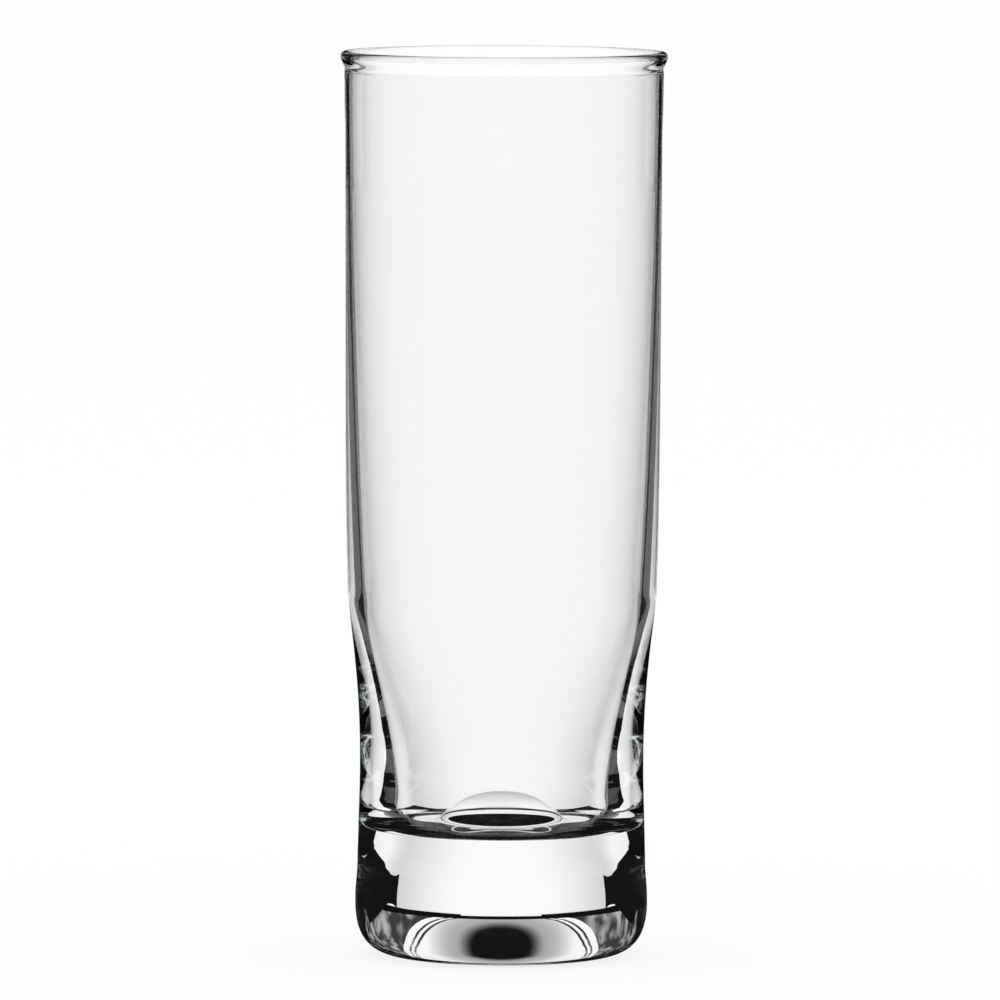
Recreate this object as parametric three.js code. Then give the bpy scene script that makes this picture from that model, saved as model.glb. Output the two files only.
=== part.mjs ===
// Tall clear-glass tumbler with a thick solid base, in millimetres, standing on z = 0 with +Z up.
// The glass is turned about the Z axis. It is divided at the heights where its section changes,
// so each zone of the glass is its own ring or slab and meets the next one face to face.

import * as THREE from 'three';

// Heights of the zones, from the table upwards
const OVERALL_HEIGHT = 166.5;
const FOOT_HEIGHT = 10; // the ridge left where the base plate met the body mould
const BASE_THICKNESS = 23; // from the table to the lowest ring of the drink
const SHOULDER_HEIGHT = 67; // where the thick lower wall has thinned to the side wall
const BEAD_HEIGHT = 4; // the thickened band at the rim

// Outside diameters
const RIM_DIAMETER = 60;
const WALL_TOP_DIAMETER = 58.6;
const SHOULDER_DIAMETER = 56.9;
const BASE_TOP_DIAMETER = 52.4;
const BASE_DIAMETER = 53;
const RIDGE_DIAMETER = 53.8;

// Bow of the side wall: how far and how strongly it leaves the shoulder and reaches the bead
const WALL_LOWER_REACH = 25;
const WALL_LOWER_SWELL = 0.85;
const WALL_UPPER_REACH = 32.5;
const WALL_UPPER_DRAW = 0.45;

// Sweep of the outside from the narrow base out to the shoulder
const WAIST_REACH = 21.4;
const WAIST_DRAW = 0.7;
const SHOULDER_REACH = 5.4;
const SHOULDER_DRAW = 0.18;

// Thickness of the glass
const LIP_THICKNESS = 1.75;
const WALL_TOP_THICKNESS = 0.85;
const SHOULDER_THICKNESS = 2.75;

// Bow of the bore, which follows the outside of the side wall
const BORE_REACH = 25;
const BORE_SWELL = 1.55;
const BORE_DRAW = 0.15;

// Inside of the thick lower part
const WELL_DIAMETER = 39.6;
const WELL_EASE = 9;
const INNER_SHOULDER_EASE = 10.5;
const CORNER_WIDTH = 3;
const CORNER_HEIGHT = 6.1;
const FLOOR_DOME_RADIUS = 12.5;
const FLOOR_DOME_RISE = 6;
const FLOOR_DOME_EASE = 2;

// Mould ridge, heel and hollow underside
const RIDGE_FADE = 8;
const HEEL_DROP = 7;
const HEEL_RUN = 6.6;
const BEARING_DIAMETER = 34.8;
const BEARING_WIDTH = 1.4;
const PUNT_DEPTH = 2.2;

// Fineness of the turned surfaces
const TURN_STEPS = 64;
const CURVE_STEPS = 6;

// Radii and heights that follow from the sizes above
const rimRadius = RIM_DIAMETER / 2;
const wallTopRadius = WALL_TOP_DIAMETER / 2;
const shoulderRadius = SHOULDER_DIAMETER / 2;
const baseTopRadius = BASE_TOP_DIAMETER / 2;
const baseRadius = BASE_DIAMETER / 2;
const ridgeRadius = RIDGE_DIAMETER / 2;
const wellRadius = WELL_DIAMETER / 2;
const boreRadius = wallTopRadius - WALL_TOP_THICKNESS;
const innerShoulderRadius = shoulderRadius - SHOULDER_THICKNESS;
const innerShoulderLean = BORE_SWELL / BORE_REACH;
const baseTop = BASE_THICKNESS + CORNER_HEIGHT;
const beadBase = OVERALL_HEIGHT - BEAD_HEIGHT;

const glass = new THREE.MeshStandardMaterial({
  color: 0xf2f6f4,
  roughness: 0.03,
  metalness: 0,
  transparent: true,
  opacity: 0.35,
});

/** Turns a closed section, drawn as radius against height, into one zone of the glass. */
function turnedZone(name, section) {
  const geometry = new THREE.LatheGeometry(section.getPoints(CURVE_STEPS), TURN_STEPS);
  geometry.rotateX(Math.PI / 2);
  const zone = new THREE.Mesh(geometry, glass.clone());
  zone.name = name;
  return zone;
}

/** The rim: a rounded lip that swells outwards from the side wall. */
function rimBead() {
  const lipRadius = LIP_THICKNESS / 2;
  const lipCentre = rimRadius - lipRadius;
  const lipHeight = OVERALL_HEIGHT - lipRadius;
  const flareEase = (lipHeight - beadBase) / 2;
  const section = new THREE.Path();
  section.moveTo(boreRadius, beadBase);
  section.lineTo(wallTopRadius, beadBase);
  section.bezierCurveTo(
    wallTopRadius, beadBase + flareEase,
    rimRadius, lipHeight - flareEase,
    rimRadius, lipHeight,
  );
  section.absarc(lipCentre, lipHeight, lipRadius, 0, Math.PI, false);
  section.lineTo(boreRadius, beadBase);
  return turnedZone('rim_bead', section);
}

/** The side wall: thin at the top, thicker towards the shoulder, bowed slightly outwards. */
function sideWall() {
  const section = new THREE.Path();
  section.moveTo(innerShoulderRadius, SHOULDER_HEIGHT);
  section.lineTo(shoulderRadius, SHOULDER_HEIGHT);
  section.bezierCurveTo(
    shoulderRadius + WALL_LOWER_SWELL, SHOULDER_HEIGHT + WALL_LOWER_REACH,
    wallTopRadius - WALL_UPPER_DRAW, beadBase - WALL_UPPER_REACH,
    wallTopRadius, beadBase,
  );
  section.lineTo(boreRadius, beadBase);
  section.bezierCurveTo(
    boreRadius - BORE_DRAW, beadBase - WALL_UPPER_REACH,
    innerShoulderRadius + BORE_SWELL, SHOULDER_HEIGHT + BORE_REACH,
    innerShoulderRadius, SHOULDER_HEIGHT,
  );
  return turnedZone('side_wall', section);
}

/** The waist: the outside sweeps in to the base while the inside draws down to the narrow well. */
function waistWall() {
  const section = new THREE.Path();
  section.moveTo(wellRadius, baseTop);
  section.lineTo(baseTopRadius, baseTop);
  section.bezierCurveTo(
    baseTopRadius - WAIST_DRAW, baseTop + WAIST_REACH,
    shoulderRadius - SHOULDER_DRAW, SHOULDER_HEIGHT - SHOULDER_REACH,
    shoulderRadius, SHOULDER_HEIGHT,
  );
  section.lineTo(innerShoulderRadius, SHOULDER_HEIGHT);
  section.bezierCurveTo(
    innerShoulderRadius - innerShoulderLean * INNER_SHOULDER_EASE, SHOULDER_HEIGHT - INNER_SHOULDER_EASE,
    wellRadius, baseTop + WELL_EASE,
    wellRadius, baseTop,
  );
  return turnedZone('waist_wall', section);
}

/** The heavy base: solid glass under the well, whose floor rises to a dome inside a rounded corner. */
function shamBase() {
  const ridgeTop = FOOT_HEIGHT + RIDGE_FADE;
  const fadeEase = RIDGE_FADE / 2;
  const cornerCentre = wellRadius - CORNER_WIDTH;
  const domeTop = BASE_THICKNESS + FLOOR_DOME_RISE;
  const section = new THREE.Path();
  section.moveTo(0, FOOT_HEIGHT);
  section.lineTo(ridgeRadius, FOOT_HEIGHT);
  section.bezierCurveTo(
    ridgeRadius, FOOT_HEIGHT + fadeEase,
    baseRadius, ridgeTop - fadeEase,
    baseRadius, ridgeTop,
  );
  section.lineTo(baseTopRadius, baseTop);
  section.lineTo(wellRadius, baseTop);
  section.absellipse(cornerCentre, baseTop, CORNER_WIDTH, CORNER_HEIGHT, 0, -Math.PI / 2, true, 0);
  section.lineTo(FLOOR_DOME_RADIUS, BASE_THICKNESS);
  section.bezierCurveTo(
    FLOOR_DOME_RADIUS - FLOOR_DOME_EASE, BASE_THICKNESS,
    FLOOR_DOME_RADIUS, domeTop,
    0, domeTop,
  );
  return turnedZone('sham_base', section);
}

/** The foot: the hollowed underside, the ring it stands on and the heel that rounds up to the ridge. */
function foot() {
  const bearingRadius = BEARING_DIAMETER / 2;
  const puntRadius = bearingRadius - BEARING_WIDTH;
  const section = new THREE.Path();
  section.moveTo(0, PUNT_DEPTH);
  section.bezierCurveTo(puntRadius / 2, PUNT_DEPTH, puntRadius / 2, 0, puntRadius, 0);
  section.lineTo(bearingRadius, 0);
  section.bezierCurveTo(
    bearingRadius + HEEL_RUN, 0,
    ridgeRadius, FOOT_HEIGHT - HEEL_DROP,
    ridgeRadius, FOOT_HEIGHT,
  );
  section.lineTo(0, FOOT_HEIGHT);
  return turnedZone('foot', section);
}

const tumbler = new THREE.Group();
tumbler.add(rimBead(), sideWall(), waistWall(), shamBase(), foot());

export default tumbler;
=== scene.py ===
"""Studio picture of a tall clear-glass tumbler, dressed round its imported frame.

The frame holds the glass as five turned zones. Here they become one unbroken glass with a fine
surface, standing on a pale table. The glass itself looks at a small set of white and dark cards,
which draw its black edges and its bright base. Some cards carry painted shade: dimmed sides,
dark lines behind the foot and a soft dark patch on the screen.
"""

import logging
import math
from dataclasses import dataclass, field
from enum import Enum
from typing import Any, Callable, Optional, Union

import bpy
from mathutils import Matrix, Vector


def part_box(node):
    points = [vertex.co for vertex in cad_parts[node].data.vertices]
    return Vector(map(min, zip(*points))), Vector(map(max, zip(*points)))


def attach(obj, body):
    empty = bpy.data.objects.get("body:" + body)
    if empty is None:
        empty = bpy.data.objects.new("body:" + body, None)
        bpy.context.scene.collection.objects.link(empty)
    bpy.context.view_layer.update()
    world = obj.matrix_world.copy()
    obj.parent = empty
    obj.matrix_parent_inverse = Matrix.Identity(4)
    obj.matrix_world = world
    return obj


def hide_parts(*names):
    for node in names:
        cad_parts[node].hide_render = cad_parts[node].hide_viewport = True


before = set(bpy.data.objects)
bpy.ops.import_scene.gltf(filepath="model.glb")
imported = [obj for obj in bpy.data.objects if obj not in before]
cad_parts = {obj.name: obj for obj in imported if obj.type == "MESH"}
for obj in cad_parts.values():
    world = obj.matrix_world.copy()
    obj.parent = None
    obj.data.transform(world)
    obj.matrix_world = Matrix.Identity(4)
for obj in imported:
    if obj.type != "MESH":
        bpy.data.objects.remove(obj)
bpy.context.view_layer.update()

LOG = logging.getLogger("tumbler")
MM = 0.001
ZONES = ("rim_bead", "side_wall", "waist_wall", "sham_base", "foot")
ALL_BOUNCES = 40
GLASS_BOUNCES = 32

Point = tuple[float, float]
Corner = tuple[float, float, float]
Colour = tuple[float, float, float, float]
Outline = list[Corner]
Edge = Callable[[float], float]


class Ray(Enum):
    """The kinds of light ray that the studio tells apart, by their Light Path output."""

    CAMERA = "Is Camera Ray"
    GLOSSY = "Is Glossy Ray"
    TRANSMISSION = "Is Transmission Ray"


class Shade:
    """A shader value that takes part in Python arithmetic by adding Math nodes."""

    def __init__(self, book: "ShaderBook", socket: bpy.types.NodeSocket) -> None:
        """Wraps one output socket.

        Args:
            book: The node tree that the socket belongs to.
            socket: The output socket that carries the value.
        """
        self.book = book
        self.socket = socket

    def _math(self, operation: str, first: Any, second: Any) -> "Shade":
        """Adds one Math node.

        Args:
            operation: Blender's name for the operation.
            first: The first operand, a Shade or a number.
            second: The second operand, a Shade or a number.

        Returns:
            The node's result.
        """
        node = self.book.node("ShaderNodeMath", {"operation": operation}, {0: first, 1: second})
        return Shade(self.book, node.outputs[0])

    def __add__(self, other: Any) -> "Shade":
        """Adds a value."""
        return self._math("ADD", self, other)

    def __radd__(self, other: Any) -> "Shade":
        """Adds to a plain number."""
        return self._math("ADD", other, self)

    def __sub__(self, other: Any) -> "Shade":
        """Takes a value away."""
        return self._math("SUBTRACT", self, other)

    def __rsub__(self, other: Any) -> "Shade":
        """Takes this value away from a plain number."""
        return self._math("SUBTRACT", other, self)

    def __mul__(self, other: Any) -> "Shade":
        """Multiplies by a value."""
        return self._math("MULTIPLY", self, other)

    def __rmul__(self, other: Any) -> "Shade":
        """Multiplies a plain number."""
        return self._math("MULTIPLY", other, self)

    def __truediv__(self, other: Any) -> "Shade":
        """Divides by a value."""
        return self._math("DIVIDE", self, other)

    def __rtruediv__(self, other: Any) -> "Shade":
        """Divides a plain number."""
        return self._math("DIVIDE", other, self)

    def __abs__(self) -> "Shade":
        """Drops the sign."""
        return self._math("ABSOLUTE", self, 0.0)

    def largest(self, other: Any) -> "Shade":
        """Gives the larger of the two values."""
        return self._math("MAXIMUM", self, other)


class ShaderBook:
    """Writes the nodes of one material or world."""

    def __init__(self, tree: bpy.types.NodeTree) -> None:
        """Empties the tree.

        Args:
            tree: The node tree to write in.
        """
        self.tree = tree
        tree.nodes.clear()

    def node(
        self,
        kind: str,
        settings: Optional[dict[str, Any]] = None,
        values: Optional[dict[Union[str, int], Any]] = None,
    ) -> bpy.types.Node:
        """Makes any node.

        Args:
            kind: The node's type name.
            settings: Its own properties, set before its sockets.
            values: What each input gets, a number, a tuple, a socket or a Shade.

        Returns:
            The new node.
        """
        made = self.tree.nodes.new(kind)
        for name, setting in (settings or {}).items():
            setattr(made, name, setting)
        for name, value in (values or {}).items():
            self.feed(made.inputs[name], value)
        return made

    def feed(self, target: bpy.types.NodeSocket, value: Any) -> None:
        """Links a socket, or sets its own value.

        Args:
            target: The input to feed.
            value: A Shade or a socket to link, or the value to set.
        """
        if isinstance(value, Shade):
            self.tree.links.new(value.socket, target)
        elif isinstance(value, bpy.types.NodeSocket):
            self.tree.links.new(value, target)
        else:
            target.default_value = value

    def place(self) -> tuple[Shade, Shade, Shade]:
        """Finds the place on the object.

        Returns:
            How far across, along and up it is, in metres.
        """
        spot = self.node("ShaderNodeTexCoord").outputs["Object"]
        parts = self.node("ShaderNodeSeparateXYZ", {}, {0: spot})
        return Shade(self, parts.outputs[0]), Shade(self, parts.outputs[1]), Shade(self, parts.outputs[2])

    def fade(self, value: Shade, span: Point, levels: Point) -> Shade:
        """Leads a value softly from one level to another.

        Args:
            value: What to follow.
            span: Where the change starts and ends.
            levels: The levels before and after.

        Returns:
            The level.
        """
        made = self.node("ShaderNodeMapRange", {"interpolation_type": "SMOOTHSTEP"}, {
            "Value": value,
            "From Min": span[0],
            "From Max": span[1],
            "To Min": levels[0],
            "To Max": levels[1],
        })
        return Shade(self, made.outputs[0])

    def blend(self, share: Shade, first: Union[Colour, Shade], second: Union[Colour, Shade]) -> Shade:
        """Mixes two colours.

        Args:
            share: How much of the second colour, from 0 to 1.
            first: The first colour.
            second: The second colour.

        Returns:
            The mixed colour.
        """
        made = self.node("ShaderNodeMix", {"data_type": "RGBA"}, {0: share, 6: first, 7: second})
        return Shade(self, made.outputs[2])

    def seen_by(self, *rays: Ray) -> Shade:
        """Tells whether a ray is one of the given kinds.

        Args:
            rays: The kinds of ray.

        Returns:
            1 for those rays and 0 for the others.
        """
        path = self.node("ShaderNodeLightPath")
        kinds = [Shade(self, path.outputs[ray.value]) for ray in rays]
        answer = kinds[0]
        for kind in kinds[1:]:
            answer = answer.largest(kind)
        return answer


@dataclass
class Section:
    """A half-section of turned glass, drawn as radius against height in millimetres."""

    points: list[Point] = field(default_factory=list)

    def start(self, radius: float, height: float) -> None:
        """Puts the pen down at a point."""
        self.points = [(radius, height)]

    def line(self, radius: float, height: float, steps: int) -> None:
        """Draws a straight line.

        Args:
            radius: Where it ends, across.
            height: Where it ends, upwards.
            steps: How many points it adds.
        """
        here = self.points[-1]
        for step in range(1, steps + 1):
            share = step / steps
            self.points.append((
                here[0] + (radius - here[0]) * share,
                here[1] + (height - here[1]) * share,
            ))

    def curve(self, leave: Point, arrive: Point, end: Point, steps: int) -> None:
        """Draws a cubic curve.

        Args:
            leave: The control point after the start.
            arrive: The control point before the end.
            end: Where the curve ends.
            steps: How many points it adds.
        """
        here = self.points[-1]
        for step in range(1, steps + 1):
            t = step / steps
            weights = ((1 - t) ** 3, 3 * t * (1 - t) ** 2, 3 * t * t * (1 - t), t ** 3)
            corners = (here, leave, arrive, end)
            self.points.append((
                sum(w * c[0] for w, c in zip(weights, corners)),
                sum(w * c[1] for w, c in zip(weights, corners)),
            ))

    def arc(self, centre: Point, reach: Point, turn: Point, steps: int) -> None:
        """Draws a piece of an ellipse.

        Args:
            centre: The middle of the ellipse.
            reach: Its half width and half height.
            turn: The angles where it starts and ends, in degrees from straight outwards.
            steps: How many points it adds.
        """
        for step in range(1, steps + 1):
            angle = math.radians(turn[0] + (turn[1] - turn[0]) * step / steps)
            self.points.append((
                centre[0] + reach[0] * math.cos(angle),
                centre[1] + reach[1] * math.sin(angle),
            ))


@dataclass(frozen=True)
class ClearGlass:
    """The finish of the tumbler: clear soda-lime glass, fire-polished, with the mould's faint waviness."""

    name: str = "clear_glass"
    tint: Colour = (1.0, 1.0, 1.0, 1.0)
    body_colour: Colour = (0.6, 0.7, 0.63, 1.0)
    body_density: float = 2.0
    index: float = 1.5
    smear: float = 0.004
    smear_scale: float = 45.0
    wave_scale: float = 55.0
    wave_detail: float = 1.0
    wave_height: float = 0.005 * MM

    def material(self) -> bpy.types.Material:
        """Makes the material.

        Returns:
            The glass, with smears in its polish and waves in its surface.
        """
        made = bpy.data.materials.new(self.name)
        made.use_nodes = True
        book = ShaderBook(made.node_tree)
        place = book.node("ShaderNodeTexCoord").outputs["Object"]
        smear = book.node("ShaderNodeTexNoise", {}, {"Vector": place, "Scale": self.smear_scale})
        wave = book.node("ShaderNodeTexNoise", {}, {
            "Vector": place,
            "Scale": self.wave_scale,
            "Detail": self.wave_detail,
        })
        bump = book.node("ShaderNodeBump", {}, {
            "Strength": 1.0,
            "Distance": self.wave_height,
            "Height": wave.outputs[0],
        })
        surface = book.node("ShaderNodeBsdfPrincipled", {}, {
            "Base Color": self.tint,
            "Roughness": Shade(book, smear.outputs[0]) * self.smear,
            "IOR": self.index,
            "Transmission Weight": 1.0,
            "Normal": bump.outputs[0],
        })
        body = book.node("ShaderNodeVolumeAbsorption", {}, {
            "Color": self.body_colour,
            "Density": self.body_density,
        })
        book.node("ShaderNodeOutputMaterial", {}, {
            "Surface": surface.outputs[0],
            "Volume": body.outputs[0],
        })
        return made


@dataclass
class Tumbler:
    """The glass itself. Heights and the largest radii come from the frame; the rest is in millimetres."""

    wall_top_radius: float = 29.3
    shoulder_radius: float = 28.45
    base_top_radius: float = 26.2
    base_radius: float = 26.5
    wall_leave: Point = (0.85, 25.0)
    wall_arrive: Point = (0.45, 32.5)
    waist_leave: Point = (0.7, 21.4)
    waist_arrive: Point = (0.18, 5.4)
    lip_thickness: float = 1.75
    wall_top_thickness: float = 0.85
    shoulder_thickness: float = 2.75
    bore_leave: Point = (1.55, 25.0)
    bore_draw: float = 0.15
    base_thickness: float = 23.0
    well_radius: float = 19.8
    well_ease: float = 9.0
    inner_shoulder_ease: float = 10.5
    corner_width: float = 3.0
    floor_dome_radius: float = 12.5
    floor_dome_rise: float = 6.0
    floor_dome_ease: float = 2.0
    ridge_fade: float = 8.0
    heel_drop: float = 7.0
    heel_run: float = 6.6
    bearing_radius: float = 17.4
    punt_radius: float = 16.0
    punt_depth: float = 2.2
    turn_steps: int = 256
    curve_steps: int = 32
    flat_steps: int = 4
    finish: ClearGlass = ClearGlass()

    def __post_init__(self) -> None:
        """Reads the heights of the zones and the outer radii from the frame."""
        top = {zone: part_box(zone)[1] for zone in ZONES}
        self.foot_height = top["foot"].z / MM
        self.ridge_radius = top["foot"].x / MM
        self.base_top = top["sham_base"].z / MM
        self.shoulder_height = top["waist_wall"].z / MM
        self.bead_height = top["side_wall"].z / MM
        self.height = top["rim_bead"].z / MM
        self.rim_radius = top["rim_bead"].x / MM

    def outside(self, section: Section) -> None:
        """Draws the underside, the heel, the ridge and the outer wall up to the bead.

        Args:
            section: The half-section, drawn from the axis outwards and up.
        """
        steps = self.curve_steps
        half = self.punt_radius / 2
        section.start(0.0, self.punt_depth)
        section.curve((half, self.punt_depth), (half, 0.0), (self.punt_radius, 0.0), steps)
        section.line(self.bearing_radius, 0.0, self.flat_steps)
        section.curve(
            (self.bearing_radius + self.heel_run, 0.0),
            (self.ridge_radius, self.foot_height - self.heel_drop),
            (self.ridge_radius, self.foot_height),
            2 * steps,
        )
        ease = self.ridge_fade / 2
        section.curve(
            (self.ridge_radius, self.foot_height + ease),
            (self.base_radius, self.foot_height + ease),
            (self.base_radius, self.foot_height + self.ridge_fade),
            steps,
        )
        section.line(self.base_top_radius, self.base_top, steps // 2)
        section.curve(
            (self.base_top_radius - self.waist_leave[0], self.base_top + self.waist_leave[1]),
            (self.shoulder_radius - self.waist_arrive[0], self.shoulder_height - self.waist_arrive[1]),
            (self.shoulder_radius, self.shoulder_height),
            2 * steps,
        )
        section.curve(
            (self.shoulder_radius + self.wall_leave[0], self.shoulder_height + self.wall_leave[1]),
            (self.wall_top_radius - self.wall_arrive[0], self.bead_height - self.wall_arrive[1]),
            (self.wall_top_radius, self.bead_height),
            2 * steps,
        )

    def lip(self, section: Section) -> None:
        """Draws the rounded lip and its flare.

        Args:
            section: The half-section, which has reached the foot of the bead.
        """
        lip = self.lip_thickness / 2
        lip_height = self.height - lip
        ease = (lip_height - self.bead_height) / 2
        section.curve(
            (self.wall_top_radius, self.bead_height + ease),
            (self.rim_radius, lip_height - ease),
            (self.rim_radius, lip_height),
            self.curve_steps // 2,
        )
        section.arc((self.rim_radius - lip, lip_height), (lip, lip), (0, 180), self.curve_steps)

    def inside(self, section: Section) -> None:
        """Draws the inner wall, the well and its floor, down to the axis.

        Args:
            section: The half-section, which has come over the lip.
        """
        steps = self.curve_steps
        bore = self.wall_top_radius - self.wall_top_thickness
        shoulder = self.shoulder_radius - self.shoulder_thickness
        well = self.well_radius
        floor = self.base_thickness
        corner = (self.corner_width, self.base_top - floor)
        dome = floor + self.floor_dome_rise
        section.line(bore, self.bead_height, steps // 4)
        section.curve(
            (bore - self.bore_draw, self.bead_height - self.wall_arrive[1]),
            (shoulder + self.bore_leave[0], self.shoulder_height + self.bore_leave[1]),
            (shoulder, self.shoulder_height),
            2 * steps,
        )
        lean = self.bore_leave[0] / self.bore_leave[1]
        section.curve(
            (shoulder - lean * self.inner_shoulder_ease, self.shoulder_height - self.inner_shoulder_ease),
            (well, self.base_top + self.well_ease),
            (well, self.base_top),
            2 * steps,
        )
        section.arc((well - self.corner_width, self.base_top), corner, (0, -90), steps)
        section.line(self.floor_dome_radius, floor, self.flat_steps)
        section.curve(
            (self.floor_dome_radius - self.floor_dome_ease, floor),
            (self.floor_dome_radius, dome),
            (0.0, dome),
            2 * steps,
        )

    def build(self) -> bpy.types.Object:
        """Turns the section into the glass and sets it on its body in place of the zones.

        Returns:
            The finished glass.
        """
        section = Section()
        self.outside(section)
        self.lip(section)
        self.inside(section)
        mesh = self.turned(section.points)
        glass = bpy.data.objects.new("tumbler_glass", mesh)
        bpy.context.scene.collection.objects.link(glass)
        glass.data.materials.append(self.finish.material())
        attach(glass, "root")
        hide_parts(*ZONES)
        LOG.info("%s: %d faces", glass.name, len(mesh.polygons))
        return glass

    def turned(self, outline: list[Point]) -> bpy.types.Mesh:
        """Turns an outline that starts and ends on the axis into a closed mesh.

        Args:
            outline: The points of the half-section, in millimetres.

        Returns:
            The mesh, in metres, shaded smooth.
        """
        count = self.turn_steps
        rings = outline[1:-1]
        vertices = [(0.0, 0.0, outline[0][1] * MM), (0.0, 0.0, outline[-1][1] * MM)]
        for radius, height in rings:
            for step in range(count):
                angle = 2 * math.pi * step / count
                vertices.append((
                    radius * MM * math.cos(angle),
                    radius * MM * math.sin(angle),
                    height * MM,
                ))
        first = 2
        last = first + (len(rings) - 1) * count
        faces: list[tuple[int, ...]] = []
        for step in range(count):
            after = (step + 1) % count
            faces.append((0, first + after, first + step))
            faces.append((1, last + step, last + after))
            for ring in range(len(rings) - 1):
                low = first + ring * count
                high = low + count
                faces.append((low + step, low + after, high + after, high + step))
        mesh = bpy.data.meshes.new("tumbler_glass")
        mesh.from_pydata(vertices, [], faces)
        mesh.validate()
        mesh.shade_smooth()
        return mesh


@dataclass
class Viewpoint:
    """The camera, where the photograph was taken from. Lengths are in millimetres."""

    distance: float = 2300.0
    height: float = 256.6
    aim_height: float = 84.0
    aim_across: float = -0.48
    lens: float = 451.6
    sensor: float = 36.0
    roll: float = 0.21
    sight: float = 50000.0

    def build(self) -> bpy.types.Object:
        """Sets up the camera.

        Returns:
            The scene's camera.
        """
        data = bpy.data.cameras.new("photo_camera")
        data.sensor_width = self.sensor
        data.lens = self.lens
        data.clip_end = self.sight * MM
        camera = bpy.data.objects.new("photo_camera", data)
        bpy.context.scene.collection.objects.link(camera)
        place = Vector((self.aim_across, -self.distance, self.height)) * MM
        aim = Vector((self.aim_across, 0.0, self.aim_height)) * MM
        turn = (aim - place).to_track_quat("-Z", "Y").to_matrix().to_4x4()
        roll = Matrix.Rotation(math.radians(self.roll), 4, "Z")
        camera.matrix_world = Matrix.Translation(place) @ turn @ roll
        bpy.context.scene.camera = camera
        LOG.info("camera: %.0f mm away", self.distance)
        return camera


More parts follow.
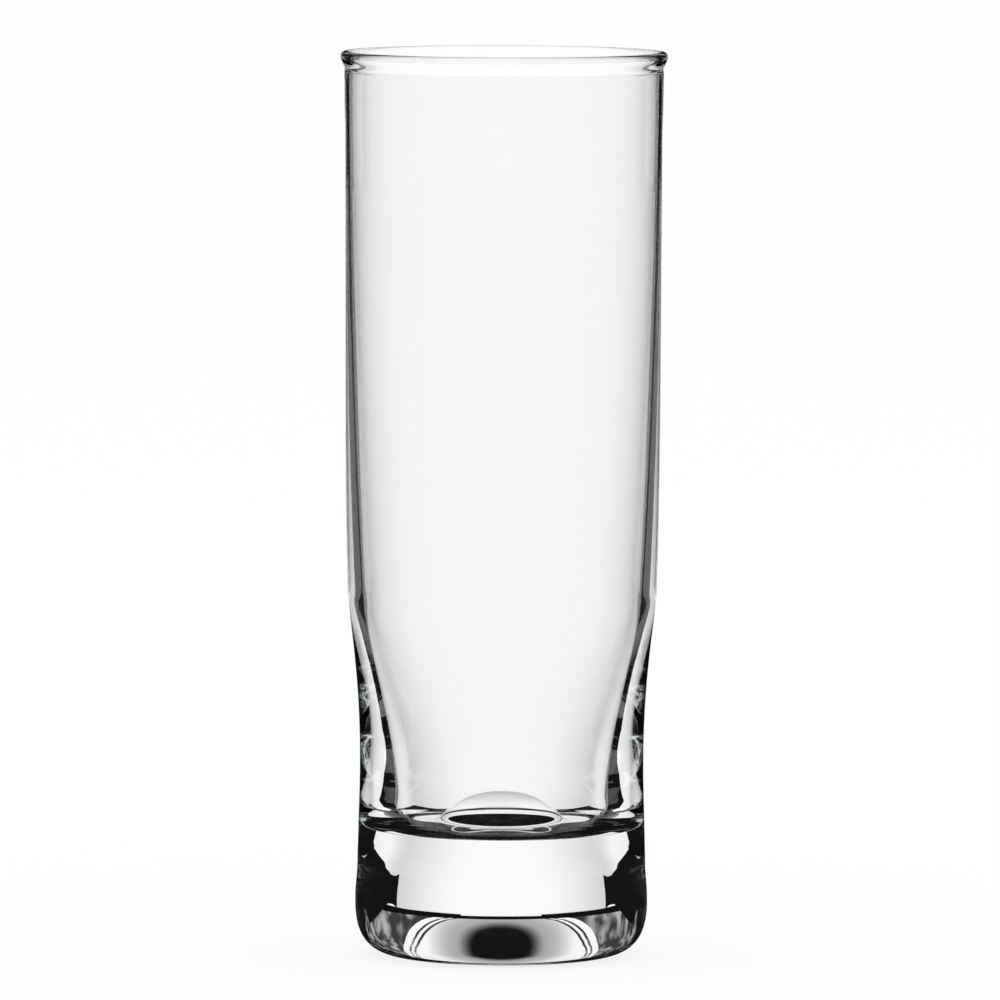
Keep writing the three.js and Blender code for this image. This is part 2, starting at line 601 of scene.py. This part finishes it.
@dataclass
class Studio:
    """The pale table, the white room and the cards that the glass looks at. Lengths are in millimetres."""

    # Table, lamp and the glow of the cards
    table_size: float = 16000.0
    table_colour: Colour = (0.93, 0.93, 0.93, 1.0)
    white: Colour = (1.0, 1.0, 1.0, 1.0)
    black: Colour = (0.0, 0.0, 0.0, 1.0)
    dark: Colour = (0.006, 0.007, 0.0065, 1.0)
    table_glow: float = 0.85
    card_glow: float = 1.08
    lamp_size: float = 1200.0
    lamp_power: float = 2.0
    lamp_place: Corner = (0.0, 300.0, 1600.0)
    # Paper behind the glass: right edges, across against along
    paper_edge: tuple[Point, ...] = (
        (6.0, 12.0), (18.0, 15.0), (30.0, 22.0), (40.0, 35.0), (74.0, 35.0), (74.0, 60.0), (108.0, 120.0),
        (165.0, 250.0), (205.0, 380.0), (225.0, 450.0), (250.0, 600.0),
    )
    far_edge: tuple[Point, ...] = (
        (250.0, 600.0), (258.0, 700.0), (300.0, 1070.0), (405.0, 1740.0), (505.0, 2560.0), (520.0, 2800.0),
    )
    strip_height: float = 26.0
    paper_lift: float = 0.02
    paper_slant: Point = (0.05, 0.5)
    paper_square: Point = (0.4, 0.65)
    # Grey that the glowing cards fade to at their sides: painted shade
    painted_side_shade: Colour = (0.68, 0.69, 0.68, 1.0)
    # Dark lines across the near paper, painted shadow behind the foot
    line_reach: float = 22.0
    line_lift: float = 0.05
    line_along: tuple[Point, ...] = ((33.5, 35.5), (40.5, 56.0))
    # Screen far behind: right edge, across against upwards, and its frame and dark middle of painted shade
    screen_along: float = 2800.0
    screen_edge: tuple[Point, ...] = (
        (560.0, 80.0), (700.0, 110.0), (820.0, 160.0), (948.0, 230.0), (1130.0, 355.0), (1247.0, 475.0),
        (1360.0, 720.0), (1427.0, 1040.0), (1560.0, 1700.0), (1700.0, 2600.0),
    )
    screen_frame: tuple[Point, ...] = ((60.0, 130.0), (190.0, 380.0))
    blob_centre: float = 420.0
    blob_reach: float = 540.0
    blob_drop: float = 290.0
    blob_rise: float = 1200.0
    blob_edge: Point = (0.45, 1.3)
    halo_edge: Point = (0.9, 5.0)
    painted_halo_shade: Colour = (0.4, 0.41, 0.4, 1.0)
    # Blotchy wall beside the screen
    wing_gap: float = 40.0
    wing_edge: float = 5200.0
    wing_start: Point = (1250.0, 1500.0)
    wing_colour: Colour = (0.045, 0.05, 0.047, 1.0)
    blotch_scale: float = 2.2
    blotch_detail: float = 2.0
    blotch_span: Point = (0.42, 0.7)
    blotch_share: float = 0.5
    # Card behind the rim, with painted shade beside its white middle
    rim_along: float = 80.0
    rim_reach: float = 140.0
    rim_white: Point = (41.0, 43.0)
    rim_dim: Point = (28.0, 41.0)
    rim_span: Point = (135.0, 320.0)
    # Flags round the foot, degrees from straight behind against height, and the kerb between them
    flag_distance: float = 60.0
    flag_edge: tuple[Point, ...] = (
        (15.2, 0.1), (15.3, 6.4), (16.8, 5.9), (18.6, 5.9), (20.2, 6.5), (21.6, 7.4), (27.6, 11.0),
        (31.6, 12.8), (36.0, 9.0), (42.0, 6.0), (120.0, 5.0),
    )
    kerb_distance: float = 61.0
    kerb_reach: float = 16.5
    kerb_height: float = 6.2
    # Where the kerb dims to the sides: painted shade
    kerb_fade: Point = (3.0, 17.0)

    def build(self, camera: bpy.types.Object) -> None:
        """Puts up the whole set.

        Args:
            camera: The camera that the cards keep facing.
        """
        self.room()
        self.table()
        self.lamp()
        pivot = self.turntable(camera)
        self.paper(pivot)
        self.screen(pivot)
        self.wings(pivot)
        self.rim_card(pivot)
        self.kerb(pivot)
        self.flags(pivot)

    def room(self) -> None:
        """Lights the world white, and leaves it dark to the glass, which only sees the cards."""
        world = bpy.data.worlds.new("white_room")
        world.use_nodes = True
        bpy.context.scene.world = world
        book = ShaderBook(world.node_tree)
        bright = book.node("ShaderNodeBackground", {}, {"Color": self.white, "Strength": 1.0})
        dim = book.node("ShaderNodeBackground", {}, {"Color": self.dark, "Strength": 1.0})
        mix = book.node("ShaderNodeMixShader", {}, {
            0: book.seen_by(Ray.GLOSSY, Ray.TRANSMISSION),
            1: bright.outputs[0],
            2: dim.outputs[0],
        })
        book.node("ShaderNodeOutputWorld", {}, {"Surface": mix.outputs[0]})

    def table(self) -> None:
        """Lays the pale table, white to the camera but still shaded by the glass."""
        half = self.table_size * MM / 2
        mesh = bpy.data.meshes.new("pale_table")
        mesh.from_pydata(
            [(-half, -half, 0), (half, -half, 0), (half, half, 0), (-half, half, 0)], [], [(0, 1, 2, 3)]
        )
        table = bpy.data.objects.new("pale_table", mesh)
        bpy.context.scene.collection.objects.link(table)
        material = bpy.data.materials.new("pale_table")
        material.use_nodes = True
        book = ShaderBook(material.node_tree)
        paper = book.node("ShaderNodeBsdfDiffuse", {}, {"Color": self.table_colour})
        glow = book.node("ShaderNodeEmission", {}, {"Color": self.white, "Strength": 1.0})
        dim = book.node("ShaderNodeEmission", {}, {"Color": self.dark, "Strength": 1.0})
        straight = book.node("ShaderNodeMixShader", {}, {
            0: book.seen_by(Ray.CAMERA) * self.table_glow,
            1: paper.outputs[0],
            2: glow.outputs[0],
        })
        mix = book.node("ShaderNodeMixShader", {}, {
            0: book.seen_by(Ray.GLOSSY, Ray.TRANSMISSION),
            1: straight.outputs[0],
            2: dim.outputs[0],
        })
        book.node("ShaderNodeOutputMaterial", {}, {"Surface": mix.outputs[0]})
        mesh.materials.append(material)
        LOG.info("pale_table: laid")

    def lamp(self) -> None:
        """Hangs one large soft lamp over the table."""
        data = bpy.data.lights.new("soft_box", "AREA")
        data.size = self.lamp_size * MM
        data.energy = self.lamp_power
        lamp = bpy.data.objects.new("soft_box", data)
        lamp.location = Vector(self.lamp_place) * MM
        lamp.visible_glossy = False
        lamp.visible_transmission = False
        bpy.context.scene.collection.objects.link(lamp)
        LOG.info("soft_box: hung")

    def turntable(self, camera: bpy.types.Object) -> bpy.types.Object:
        """Makes the pivot that keeps the cards facing the camera, as when the glass turns on a turntable.

        Args:
            camera: The camera to face.

        Returns:
            The pivot, on the axis of the glass.
        """
        pivot = bpy.data.objects.new("set_pivot", None)
        bpy.context.scene.collection.objects.link(pivot)
        follow = pivot.constraints.new("COPY_ROTATION")
        follow.target = camera
        follow.use_x = False
        follow.use_y = False
        return pivot

    def card(
        self, name: str, outlines: list[Outline], pivot: bpy.types.Object
    ) -> tuple[bpy.types.Object, ShaderBook, bpy.types.Node]:
        """Sets up a card that only the glass sees, and that shines by itself.

        Args:
            name: The card's name.
            outlines: Its flat faces, each as corners in order.
            pivot: What it turns with.

        Returns:
            The card, its shader book and the shader whose Emission Color is to be fed.
        """
        mesh = bpy.data.meshes.new(name)
        corners: list[Corner] = []
        faces: list[tuple[int, ...]] = []
        for outline in outlines:
            faces.append(tuple(range(len(corners), len(corners) + len(outline))))
            corners.extend(outline)
        mesh.from_pydata([tuple(c * MM for c in corner) for corner in corners], [], faces)
        material = bpy.data.materials.new(name)
        material.use_nodes = True
        book = ShaderBook(material.node_tree)
        face = book.node("ShaderNodeBsdfPrincipled", {}, {
            "Base Color": self.black,
            "Specular IOR Level": 0.0,
            "Emission Color": self.white,
            "Emission Strength": self.card_glow,
        })
        book.node("ShaderNodeOutputMaterial", {}, {"Surface": face.outputs[0]})
        mesh.materials.append(material)
        card = bpy.data.objects.new(name, mesh)
        bpy.context.scene.collection.objects.link(card)
        card.parent = pivot
        card.visible_camera = False
        card.visible_diffuse = False
        card.visible_glossy = False
        card.visible_shadow = False
        LOG.info("%s: %d faces", name, len(faces))
        return card, book, face

    @staticmethod
    def upright(reach: float, along: float, low: float, high: float) -> Outline:
        """Draws an oblong that stands behind the glass.

        Args:
            reach: How far it goes to each side.
            along: How far behind the axis it stands.
            low: Its lower edge.
            high: Its upper edge.

        Returns:
            Its corners.
        """
        return [(-reach, along, low), (reach, along, low), (reach, along, high), (-reach, along, high)]

    def lying(self, edge: tuple[Point, ...]) -> Outline:
        """Draws a sheet that lies on the table.

        Args:
            edge: Its right edge, across against along.

        Returns:
            Its corners, with the same edge on the left.
        """
        left = [(-across, along) for across, along in reversed(edge)]
        return [(*point, self.paper_lift) for point in list(edge) + left]

    def sheet(self, name: str, outlines: list[Outline], pivot: bpy.types.Object) -> bpy.types.Object:
        """Puts one sheet of white paper behind the glass, dimmer to the sides with painted shade.

        Args:
            name: The sheet's name.
            outlines: Its flat faces, each as corners in order.
            pivot: What it turns with.

        Returns:
            The sheet.
        """
        sheet, book, face = self.card(name, outlines, pivot)
        across, along, _ = book.place()
        # Painted shade: the glow dims where the paper lies to the side of the glass, and is white again
        # further out
        slant = abs(across) / along.largest(self.line_reach * MM)
        fading = book.fade(slant, self.paper_slant, (0.0, 1.0))
        share = fading * book.fade(slant, self.paper_square, (1.0, 0.0))
        book.feed(face.inputs["Emission Color"], book.blend(share, self.white, self.painted_side_shade))
        return sheet

    def paper(self, pivot: bpy.types.Object) -> None:
        """Lays a near and a far sheet of paper, with dark lines of painted shadow across the near one.

        The far sheet turns up at its end, and the polish of the glass mirrors it.

        Args:
            pivot: What the sheets turn with.
        """
        self.sheet("white_paper", [self.lying(self.paper_edge)], pivot)
        strip = self.upright(*self.far_edge[-1], 0.0, self.strip_height)
        far_sheet = self.sheet("far_paper", [self.lying(self.far_edge), strip], pivot)
        far_sheet.visible_glossy = True
        reach, lift = self.line_reach, self.line_lift
        lines: list[Outline] = []
        for near, far in self.line_along:
            front = [(-reach, near, lift), (reach, near, lift)]
            back = [(reach, far, lift), (-reach, far, lift)]
            lines.append(front + back)
        # Painted shadow: dark lines across the paper just behind the foot
        _, book, face = self.card("painted_shadow_lines", lines, pivot)
        book.feed(face.inputs["Emission Color"], self.dark)

    def screen(self, pivot: bpy.types.Object) -> None:
        """Stands the white screen far behind: a wide panel with a soft dark middle of painted shade, and
        its frame.

        Args:
            pivot: What the screen turns with.
        """
        along = self.screen_along
        half = [(across, along, up) for across, up in self.screen_edge]
        panel = half + [(-across, depth, up) for across, depth, up in reversed(half)]
        _, book, face = self.card("white_screen", [panel], pivot)
        across, _, up = book.place()
        # Painted shade: a soft dark patch in the middle of the screen, in a grey halo, which the glass
        # shows in its foot
        beside = across / (self.blob_reach * MM)
        above = (up - self.blob_centre * MM) / (self.blob_rise * MM)
        below = (self.blob_centre * MM - up) / (self.blob_drop * MM)
        aside = above.largest(below)
        apart = beside * beside + aside * aside
        halo = book.blend(book.fade(apart, self.halo_edge, (0.0, 1.0)), self.painted_halo_shade, self.white)
        shade = book.fade(apart, self.blob_edge, (1.0, 0.0))
        book.feed(face.inputs["Emission Color"], book.blend(shade, halo, self.dark))
        bands: list[Outline] = []
        for inner, outer in self.screen_frame:
            bands += self.border(inner, outer)
        self.card("screen_frame", bands, pivot)

    def border(self, inner: float, outer: float) -> list[Outline]:
        """Draws a band that runs round the panel at a distance.

        Args:
            inner: How far the band starts from the panel.
            outer: How far it ends from the panel.

        Returns:
            The band's faces, up both sides.
        """
        along = self.screen_along
        faces: list[Outline] = []
        sides = self.screen_edge
        for low, high in zip(sides[:-1], sides[1:]):
            for sign in (-1, 1):
                faces.append([
                    (sign * (low[0] + inner), along, low[1]),
                    (sign * (low[0] + outer), along, low[1]),
                    (sign * (high[0] + outer), along, high[1]),
                    (sign * (high[0] + inner), along, high[1]),
                ])
        return faces

    def wings(self, pivot: bpy.types.Object) -> None:
        """Stands the dim, blotchy walls of the room beside the screen.

        Args:
            pivot: What the walls turn with.
        """
        low, high = self.screen_edge[0][1], self.screen_edge[-1][1]
        wall = self.upright(self.wing_edge, self.screen_along + self.wing_gap, low, high)
        _, book, face = self.card("room_wall", [wall], pivot)
        spot = book.node("ShaderNodeTexCoord").outputs["Object"]
        blotch = book.node("ShaderNodeTexNoise", {}, {
            "Vector": spot,
            "Scale": self.blotch_scale,
            "Detail": self.blotch_detail,
        })
        share = book.fade(Shade(book, blotch.outputs[0]), self.blotch_span, (0.0, self.blotch_share))
        across, _, _ = book.place()
        beyond = book.fade(abs(across) / MM, self.wing_start, (0.0, 1.0))
        book.feed(face.inputs["Emission Color"], book.blend(share * beyond, self.wing_colour, self.white))

    def rim_card(self, pivot: bpy.types.Object) -> None:
        """Stands a card behind the rim, white in the middle, dimmer beside it with painted shade, and dark
        at the sides.

        Args:
            pivot: What the card turns with.
        """
        outline = self.upright(self.rim_reach, self.rim_along, *self.rim_span)
        _, book, face = self.card("rim_card", [outline], pivot)
        across, _, _ = book.place()
        aside = abs(across) / MM
        # Painted shade: the white dims beside the middle
        pale = book.blend(book.fade(aside, self.rim_dim, (0.0, 1.0)), self.white, self.painted_side_shade)
        share = book.fade(aside, self.rim_white, (0.0, 1.0))
        book.feed(face.inputs["Emission Color"], book.blend(share, pale, self.dark))

    @staticmethod
    def curved(distance: float, turns: Point, low: Edge, high: Edge) -> list[Outline]:
        """Bends a strip round the axis of the glass.

        Args:
            distance: How far it stands from the axis.
            turns: The angles where it starts and ends, in degrees from straight behind the glass.
            low: Its lower edge at an angle.
            high: Its upper edge at an angle.

        Returns:
            The strip's faces.
        """
        count = max(1, round(abs(turns[1] - turns[0])))
        columns: list[tuple[Corner, Corner]] = []
        for step in range(count + 1):
            turn = turns[0] + (turns[1] - turns[0]) * step / count
            angle = math.radians(turn)
            spot = (distance * math.sin(angle), distance * math.cos(angle))
            columns.append(((*spot, low(abs(turn))), (*spot, high(abs(turn)))))
        return [[here[0], after[0], after[1], here[1]] for here, after in zip(columns[:-1], columns[1:])]

    def kerb(self, pivot: bpy.types.Object) -> None:
        """Stands a low white kerb behind the foot, dimmer to the sides with painted shade.

        Args:
            pivot: What the kerb turns with.
        """
        turns = (-self.kerb_reach, self.kerb_reach)
        strip = self.curved(self.kerb_distance, turns, lambda _: 0.0, lambda _: self.kerb_height)
        _, book, face = self.card("white_kerb", strip, pivot)
        across, _, _ = book.place()
        # Painted shade: the kerb's glow dims to the sides
        share = book.fade(abs(across) / MM, self.kerb_fade, (0.0, 1.0))
        book.feed(face.inputs["Emission Color"], book.blend(share, self.white, self.painted_side_shade))

    def flag_height(self, turn: float) -> float:
        """Reads the height of the dark flags' cut edge.

        Args:
            turn: The angle from straight behind the glass, in degrees.

        Returns:
            The height there, in millimetres.
        """
        for (start, low), (end, high) in zip(self.flag_edge[:-1], self.flag_edge[1:]):
            if turn <= end:
                return low + (high - low) * (turn - start) / (end - start)
        return self.flag_edge[-1][1]

    def flags(self, pivot: bpy.types.Object) -> None:
        """Stands a low dark card round each side of the foot, cut down towards the back.

        Args:
            pivot: What the flags turn with.
        """
        faces: list[Outline] = []
        for sign in (-1, 1):
            for (start, _), (end, _) in zip(self.flag_edge[:-1], self.flag_edge[1:]):
                turns = (sign * start, sign * end)
                faces += self.curved(self.flag_distance, turns, lambda _: 0.0, self.flag_height)
        _, book, face = self.card("dark_flags", faces, pivot)
        book.feed(face.inputs["Emission Color"], self.dark)


def quality() -> None:
    """Gives the light enough bounces inside thick glass, in plain sRGB."""
    scene = bpy.context.scene
    scene.view_settings.view_transform = "Standard"
    scene.cycles.max_bounces = ALL_BOUNCES
    scene.cycles.transmission_bounces = GLASS_BOUNCES
    scene.cycles.glossy_bounces = GLASS_BOUNCES


def main() -> None:
    """Builds the glass, the camera and the studio in order."""
    logging.basicConfig(level=logging.INFO, format="%(name)s: %(message)s")
    quality()
    Tumbler().build()
    camera = Viewpoint().build()
    Studio().build(camera)


if __name__ == "__main__":
    main()
